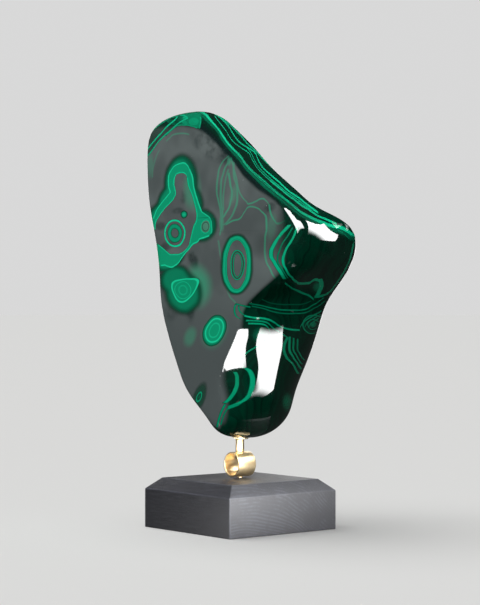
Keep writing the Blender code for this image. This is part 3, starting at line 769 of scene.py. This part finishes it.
def make_dark_wood(settings, side, height):
    """Dark stained wood: fibres along X, growth rings on the ends, paler eased edges."""
    material, shader, start = new_material("wood_dark_stained")
    place = start.place()
    fibres_place = place.vector("MULTIPLY", (0.05, 1, 1))
    fibres = fibres_place.noise(1.1, 4.0, 0.65)
    pores = fibres_place.noise(2.6, 2.0, 0.6).fade(0.55, 0.75)
    x, y, z = (place.axis(number) for number in range(3))
    drift = place.noise(0.02, 1.0)
    ring_y = y + 46.0
    ring_z = z + 92.0
    radius = (ring_y * ring_y + ring_z * ring_z).maths("SQRT") + drift * 16.0
    patches = place.noise(0.05, 3.0, 0.7).fade(0.38, 0.62)
    rings = ((radius * 2.3).maths("SINE") * 0.5 + 0.5) * (patches * 0.55 + 0.1) + fibres * 0.55
    specks = place.noise(0.85, 2.0, 0.6).fade(0.57, 0.70)
    end_grain = (abs(x) + z.fade(height - 10.0, height) * 10.0).fade(side / 2 - 2.5, side / 2 - 1.0)
    end_grain = end_grain * (abs(x) - abs(y)).fade(-0.5, 0.5)
    rough = rings.fade(0.25, 0.95) * 0.55 + specks * 0.30 + 0.08
    pale = (fibres.fade(0.35, 0.8) * 0.34 + specks * 0.10).lighter(end_grain * rough)
    corner = (abs(x) + abs(y)).fade(side - 2.2, side - 0.8)
    edge_low = settings.chamfer_down / MM
    low_edge = 1 - abs(z - (height - edge_low)).fade(0.25, 1.0)
    edge_in = side / 2 - settings.chamfer_in / MM
    top_edge = 1 - abs(abs(x).lighter(abs(y)) - edge_in).fade(0.25, 1.0)
    top_edge = top_edge * z.fade(height - 1.2, height - 0.6)
    worn = corner.lighter(low_edge).lighter(top_edge) * (0.35 + patches * 0.35)
    tone = pale.lighter(worn) - pores * 0.12
    colour = tone.mixed_colour((*settings.stain, 1), (*settings.worn, 1))
    colour.into(shader, "Base Color")
    (0.36 + fibres * 0.3).into(shader, "Roughness")
    bump = start.node("Bump", {}, {"Strength": 0.35, "Distance": 0.0003,
                                   "Height": fibres - pores * 0.6})
    bump.into(shader, "Normal")
    return material


def select_only(piece):
    """Make one object the only selected and the active one."""
    bpy.ops.object.select_all(action="DESELECT")
    piece.select_set(True)
    bpy.context.view_layer.objects.active = piece


def active_piece(name):
    """Name the object that an operator has just made, and fix its place in its mesh."""
    piece = bpy.context.active_object
    piece.name = name
    piece.data.name = name
    bpy.ops.object.transform_apply(location=True, rotation=True, scale=True)
    return piece


def apply_modifier(piece, kind, **settings):
    """Add a modifier with these settings and apply it."""
    modifier = piece.modifiers.new(kind.title(), kind)
    for name, value in settings.items():
        setattr(modifier, name, value)
    select_only(piece)
    bpy.ops.object.modifier_apply(modifier=modifier.name)


def ease_edges(piece, width, segments, corner=30, smooth=35):
    """Round the edges that turn more than corner degrees, and smooth all that turn less than
    smooth degrees."""
    apply_modifier(piece, "BEVEL", width=width, segments=segments, limit_method="ANGLE",
                   angle_limit=math.radians(corner))
    bpy.ops.object.shade_smooth_by_angle(angle=math.radians(smooth))


def copy_of_node(node, name):
    """A merged copy of a solid's mesh, with its triangles joined into quads."""
    piece = bpy.data.objects.new(name, frame["nodes"][node].data.copy())
    bpy.context.scene.collection.objects.link(piece)
    select_only(piece)
    bpy.ops.object.mode_set(mode="EDIT")
    bpy.ops.mesh.select_all(action="SELECT")
    bpy.ops.mesh.remove_doubles(threshold=1e-6)
    bpy.ops.mesh.tris_convert_to_quads(face_threshold=math.radians(60),
                                       shape_threshold=math.radians(75))
    bpy.ops.object.mode_set(mode="OBJECT")
    bpy.ops.mesh.customdata_custom_splitnormals_clear()
    return piece


def hand_over(piece, node, material):
    """Dress a finished piece and let it stand for its solid."""
    piece.data.materials.clear()
    piece.data.materials.append(material)
    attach(piece, "root")
    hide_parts(node)


def mark_drawn(piece):
    """Store at each point how much of the drawn marks it shows: all of them towards the drawing
    plane, and none on the back, the left side and the underside."""
    mesh = piece.data
    normals = np.zeros(len(mesh.vertices) * 3, np.float32)
    mesh.vertex_normals.foreach_get("vector", normals)
    facing = normals.reshape(-1, 3) @ np.array(TOWARDS, np.float32)
    share = np.clip((facing - 0.02) / 0.26, 0, 1)
    attribute = mesh.attributes.new("drawn", "FLOAT", "POINT")
    attribute.data.foreach_set("value", share * share * (3 - 2 * share))


class MakeStone(bpy.types.Operator):
    """Make the polished malachite, a smooth skin over its solid"""

    bl_idname = "malachite.make_stone"
    bl_label = "Make stone"

    def execute(self, context):
        piece = copy_of_node("malachite_stone", "malachite")
        apply_modifier(piece, "SUBSURF", levels=2, render_levels=2)
        select_only(piece)
        bpy.ops.object.shade_smooth()
        mark_drawn(piece)
        hand_over(piece, "malachite_stone", make_malachite(context.scene.malachite_stone))
        return {"FINISHED"}


class MakeBrassFittings(bpy.types.Operator):
    """Make the brass cup, post, tube and foot"""

    bl_idname = "malachite.make_brass"
    bl_label = "Make brass fittings"

    def execute(self, context):
        settings = context.scene.malachite_brass
        brass = make_brass(settings)
        self.make_tube(settings, brass)
        self.make_post(brass)
        foot = self.make_upright("foot", "brass_foot")
        ease_edges(foot, SHARP_EASE, 3)
        hand_over(foot, "brass_foot", brass)
        cup = copy_of_node("brass_cup", "cup")
        ease_edges(cup, SHARP_EASE, 2, 50, 40)
        hand_over(cup, "brass_cup", brass)
        return {"FINISHED"}

    def make_round(self, name, sides, radius, length, middle, **more):
        """A plain cylinder, to be worked further."""
        bpy.ops.object.select_all(action="DESELECT")
        bpy.ops.mesh.primitive_cylinder_add(vertices=sides, radius=radius, depth=length,
                                            location=middle, **more)
        return active_piece(name)

    def make_upright(self, name, node):
        """An upright cylinder that fills a solid's box."""
        low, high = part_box(node)
        return self.make_round(name, 64, (high.x - low.x) / 2, high.z - low.z, (low + high) / 2)

    def make_tube(self, settings, brass):
        """The short open tube: a round shell, thickened inwards, with eased rims."""
        low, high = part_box("brass_tube")
        tube = self.make_round("tube", 96, (high.z - low.z) / 2, high.y - low.y, (low + high) / 2,
                               rotation=LYING, end_fill_type="NOTHING")
        apply_modifier(tube, "SOLIDIFY", thickness=settings.tube_wall, offset=-1)
        ease_edges(tube, settings.rim_ease, 3)
        hand_over(tube, "brass_tube", brass)

    def make_post(self, brass):
        """The upright post, hollowed below to sit on the tube."""
        post = self.make_upright("post", "brass_stem")
        low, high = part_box("brass_tube")
        reach = (high.z - low.z) / 2 + CLEARANCE
        cutter = self.make_round("post_cutter", 96, reach, 20 * MM, (low + high) / 2, rotation=LYING)
        apply_modifier(post, "BOOLEAN", operation="DIFFERENCE", object=cutter)
        bpy.data.objects.remove(cutter)
        ease_edges(post, POST_EASE, 2, 50)
        hand_over(post, "brass_stem", brass)


class MakeWoodBase(bpy.types.Operator):
    """Make the square block of dark wood with its sloping upper edge"""

    bl_idname = "malachite.make_base"
    bl_label = "Make wood base"

    def execute(self, context):
        settings = context.scene.malachite_wood
        low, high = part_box("wood_base")
        side, height = high.x - low.x, high.z - low.z
        straight = height - settings.chamfer_down
        bpy.ops.object.select_all(action="DESELECT")
        bpy.ops.mesh.primitive_cube_add(size=1, location=(0, 0, straight / 2),
                                        scale=(side, side, straight))
        base = active_piece("base")
        bpy.ops.object.mode_set(mode="EDIT")
        bpy.ops.mesh.select_mode(type="FACE")
        bpy.ops.mesh.select_all(action="DESELECT")
        bpy.ops.object.mode_set(mode="OBJECT")
        for face in base.data.polygons:
            face.select = face.normal.z > 0.9
        bpy.ops.object.mode_set(mode="EDIT")
        bpy.ops.mesh.extrude_region_move(
            TRANSFORM_OT_translate={"value": (0, 0, settings.chamfer_down)})
        shrink = (side - 2 * settings.chamfer_in) / side
        bpy.ops.transform.resize(value=(shrink, shrink, 1), center_override=(0, 0, height))
        bpy.ops.object.mode_set(mode="OBJECT")
        ease_edges(base, settings.edge_round, 4, 20)
        wood = make_dark_wood(settings, side / MM, height / MM)
        hand_over(base, "wood_base", wood)
        return {"FINISHED"}


# Soft lamps: name, what they light, whether they give its polish something to mirror ("shine"), its
# colour light ("soft") or both, where they look, direction from there, distance, width, height,
# turn in degrees and brightness
STONE_MIDDLE = (0.02, -0.01, 0.20)
LOBE_FRONT = (0.032, -0.028, 0.163)
LOBE_SIDE = (0.053, -0.011, 0.146)
KNOB_CORNER = (0.102, -0.025, 0.267)
KNOB_TOP = (0.114, 0.001, 0.258)
TUBE_MIDDLE = (0.0, 0.0, 0.058)
BLOCK_MIDDLE = (0.0, 0.0, 0.03)
LAMPS = (
    ("front", "all", "soft", STONE_MIDDLE, (-0.35, -0.85, 0.38), 2.0, 1.2, 1.2, 0, 6.0),
    ("side", "all", "soft", STONE_MIDDLE, (0.85, -0.50, 0.05), 2.0, 1.2, 1.2, 0, 5.2),
    ("top", "all", "soft", STONE_MIDDLE, (0.15, -0.25, 0.95), 2.0, 1.2, 1.2, 0, 5.6),
    ("lobe_strip", "all", "shine", LOBE_FRONT, (-0.310, -0.902, -0.301), 1.5, 0.53, 0.44, 0, 14.0),
    ("lobe_window", "all", "shine", LOBE_SIDE, (0.843, -0.323, -0.431), 0.2, 0.34, 0.145, 0, 14.0),
    ("knob_corner", "all", "shine", KNOB_CORNER, (0.435, -0.645, 0.629), 0.5, 0.66, 0.27, 28, 14.0),
    ("knob_top", "all", "shine", KNOB_TOP, (0.700, 0.512, 0.500), 0.6, 0.85, 0.34, 38, 14.0),
    ("back", "all", "both", STONE_MIDDLE, (-0.55, 0.80, 0.18), 1.5, 0.8, 0.8, 0, 2.4),
    ("left", "all", "both", STONE_MIDDLE, (-0.96, 0.25, 0.10), 1.5, 0.5, 0.8, 0, 2.6),
    ("brass_front", "brass", "both", TUBE_MIDDLE, (0.30, -0.80, 0.45), 0.8, 0.9, 0.6, 0, 8.5),
    ("brass_top", "brass", "both", TUBE_MIDDLE, (0.75, -0.10, 0.62), 0.8, 0.30, 0.42, 0, 9.0),
    ("brass_low", "brass", "both", TUBE_MIDDLE, (0.90, -0.40, 0.02), 0.9, 0.9, 0.4, 0, 5.0),
    ("block_side", "wood", "both", BLOCK_MIDDLE, (0.84, 0.56, 0.16), 1.6, 0.9, 0.7, 0, 9.0),
    ("block_top", "wood", "soft", BLOCK_MIDDLE, (0.10, -0.10, 0.99), 1.6, 0.9, 0.9, 0, 10.0),
)


class SetStage(bpy.types.Operator):
    """Set the camera, the pale floor and the soft lamps"""

    bl_idname = "malachite.set_stage"
    bl_label = "Set stage"

    def execute(self, context):
        settings = context.scene.malachite_stage
        scene = context.scene
        self.set_camera(scene, settings)
        floor = self.make_floor(settings)
        self.set_room(scene, settings)
        lit = {name: bpy.data.collections.new(name + "_light")
               for name in ("all", "brass", "wood", "floor")}
        lit["floor"].objects.link(floor)
        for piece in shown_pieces():
            lit["all"].objects.link(piece)
            if piece.name in ("tube", "post", "foot", "cup"):
                lit["brass"].objects.link(piece)
            elif piece.name == "base":
                lit["wood"].objects.link(piece)
        for name, receivers, *lamp in LAMPS:
            self.add_lamp(scene, name, lit[receivers], *lamp)
        sky = bpy.data.lights.new("sky", "SUN")
        sky.energy = settings.floor_light
        sky.angle = math.radians(70)
        sky_lamp = bpy.data.objects.new("sky", sky)
        sky_lamp.rotation_euler = (math.radians(12), math.radians(-14), 0)
        scene.collection.objects.link(sky_lamp)
        sky_lamp.light_linking.receiver_collection = lit["floor"]
        return {"FINISHED"}

    def set_camera(self, scene, settings):
        """The camera looks level at the front right corner of the stand."""
        data = bpy.data.cameras.new("camera")
        data.lens = settings.lens
        data.sensor_width = 36
        camera = bpy.data.objects.new("camera", data)
        camera.location = settings.camera_place
        camera.rotation_euler = (math.pi / 2, 0, math.atan2(TOWARDS[0], -TOWARDS[1]))
        scene.collection.objects.link(camera)
        scene.camera = camera
        scene.view_settings.view_transform = "Standard"

    def make_floor(self, settings):
        """A large round pale floor under the stand. Polished pieces don't mirror it."""
        bpy.ops.object.select_all(action="DESELECT")
        bpy.ops.mesh.primitive_circle_add(vertices=96, radius=30, fill_type="NGON")
        floor = active_piece("floor")
        material, shader, _ = new_material("floor_pale")
        shader.inputs["Base Color"].default_value = (*settings.floor_colour, 1)
        shader.inputs["Roughness"].default_value = 0.9
        shader.inputs["Specular IOR Level"].default_value = 0.1
        floor.data.materials.append(material)
        floor.visible_glossy = False
        floor.visible_diffuse = False
        floor.visible_shadow = False
        floor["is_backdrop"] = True
        return floor

    def set_room(self, scene, settings):
        """Dim light from all round, in front of a plain pale background."""
        world = bpy.data.worlds.new("room")
        world.use_nodes = True
        start = Wire(world.node_tree)
        background = world.node_tree.nodes["Background"]
        seen = start.node("LightPath", output=0)
        strength = seen.mixed(settings.room_light, settings.backdrop_light)
        strength.into(background, "Strength")
        background.inputs["Color"].default_value = (1, 1, 1, 1)
        scene.world = world

    def add_lamp(self, scene, name, receivers, use, target, towards, distance, width, height, turn,
                 brightness):
        """A soft rectangular lamp that looks at its target and isn't seen itself."""
        data = bpy.data.lights.new(name, "AREA")
        data.shape = "RECTANGLE"
        data.size = width
        data.size_y = height
        data.energy = brightness * math.pi * width * height
        lamp = bpy.data.objects.new(name, data)
        offset = Vector(towards).normalized() * distance
        lamp.location = Vector(target) + offset
        aim = (-offset).to_track_quat("-Z", "Y")
        lamp.rotation_euler = (aim @ Quaternion((0, 0, 1), math.radians(turn))).to_euler()
        lamp.visible_camera = False
        lamp.visible_diffuse = use != "shine"
        lamp.visible_glossy = use != "soft"
        lamp.light_linking.receiver_collection = receivers
        scene.collection.objects.link(lamp)


class MalachitePanel(bpy.types.Panel):
    """The buttons and settings, in the sidebar of the 3D view"""

    bl_label = "Malachite"
    bl_idname = "VIEW3D_PT_malachite"
    bl_space_type = "VIEW_3D"
    bl_region_type = "UI"
    bl_category = "Malachite"

    def draw(self, context):
        for operator, group in STEPS:
            box = self.layout.box()
            box.operator(operator.bl_idname)
            settings = getattr(context.scene, group)
            for name in settings.__annotations__:
                box.prop(settings, name)


GROUPS = (("malachite_stone", StoneSettings), ("malachite_brass", BrassSettings),
          ("malachite_wood", WoodSettings), ("malachite_stage", StageSettings))
STEPS = ((MakeStone, "malachite_stone"), (MakeBrassFittings, "malachite_brass"),
         (MakeWoodBase, "malachite_wood"), (SetStage, "malachite_stage"))


def register():
    """Add the settings, operators and panel to Blender."""
    for name, group in GROUPS:
        bpy.utils.register_class(group)
        setattr(bpy.types.Scene, name, bpy.props.PointerProperty(type=group))
    for operator, group in STEPS:
        bpy.utils.register_class(operator)
    bpy.utils.register_class(MalachitePanel)


def unregister():
    """Take them out again."""
    bpy.utils.unregister_class(MalachitePanel)
    for operator, group in reversed(STEPS):
        bpy.utils.unregister_class(operator)
    for name, group in reversed(GROUPS):
        delattr(bpy.types.Scene, name)
        bpy.utils.unregister_class(group)


def clear_start_objects():
    """Remove what a new Blender scene starts with, apart from the frame."""
    kept = {*frame["nodes"].values(), *frame["bodies"].values()}
    for thing in list(bpy.data.objects):
        if thing not in kept:
            bpy.data.objects.remove(thing, do_unlink=True)


def main():
    """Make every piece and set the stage."""
    register()
    clear_start_objects()
    bpy.ops.malachite.make_stone()
    bpy.ops.malachite.make_brass()
    bpy.ops.malachite.make_base()
    bpy.ops.malachite.set_stage()


if __name__ == "__main__":
    main()
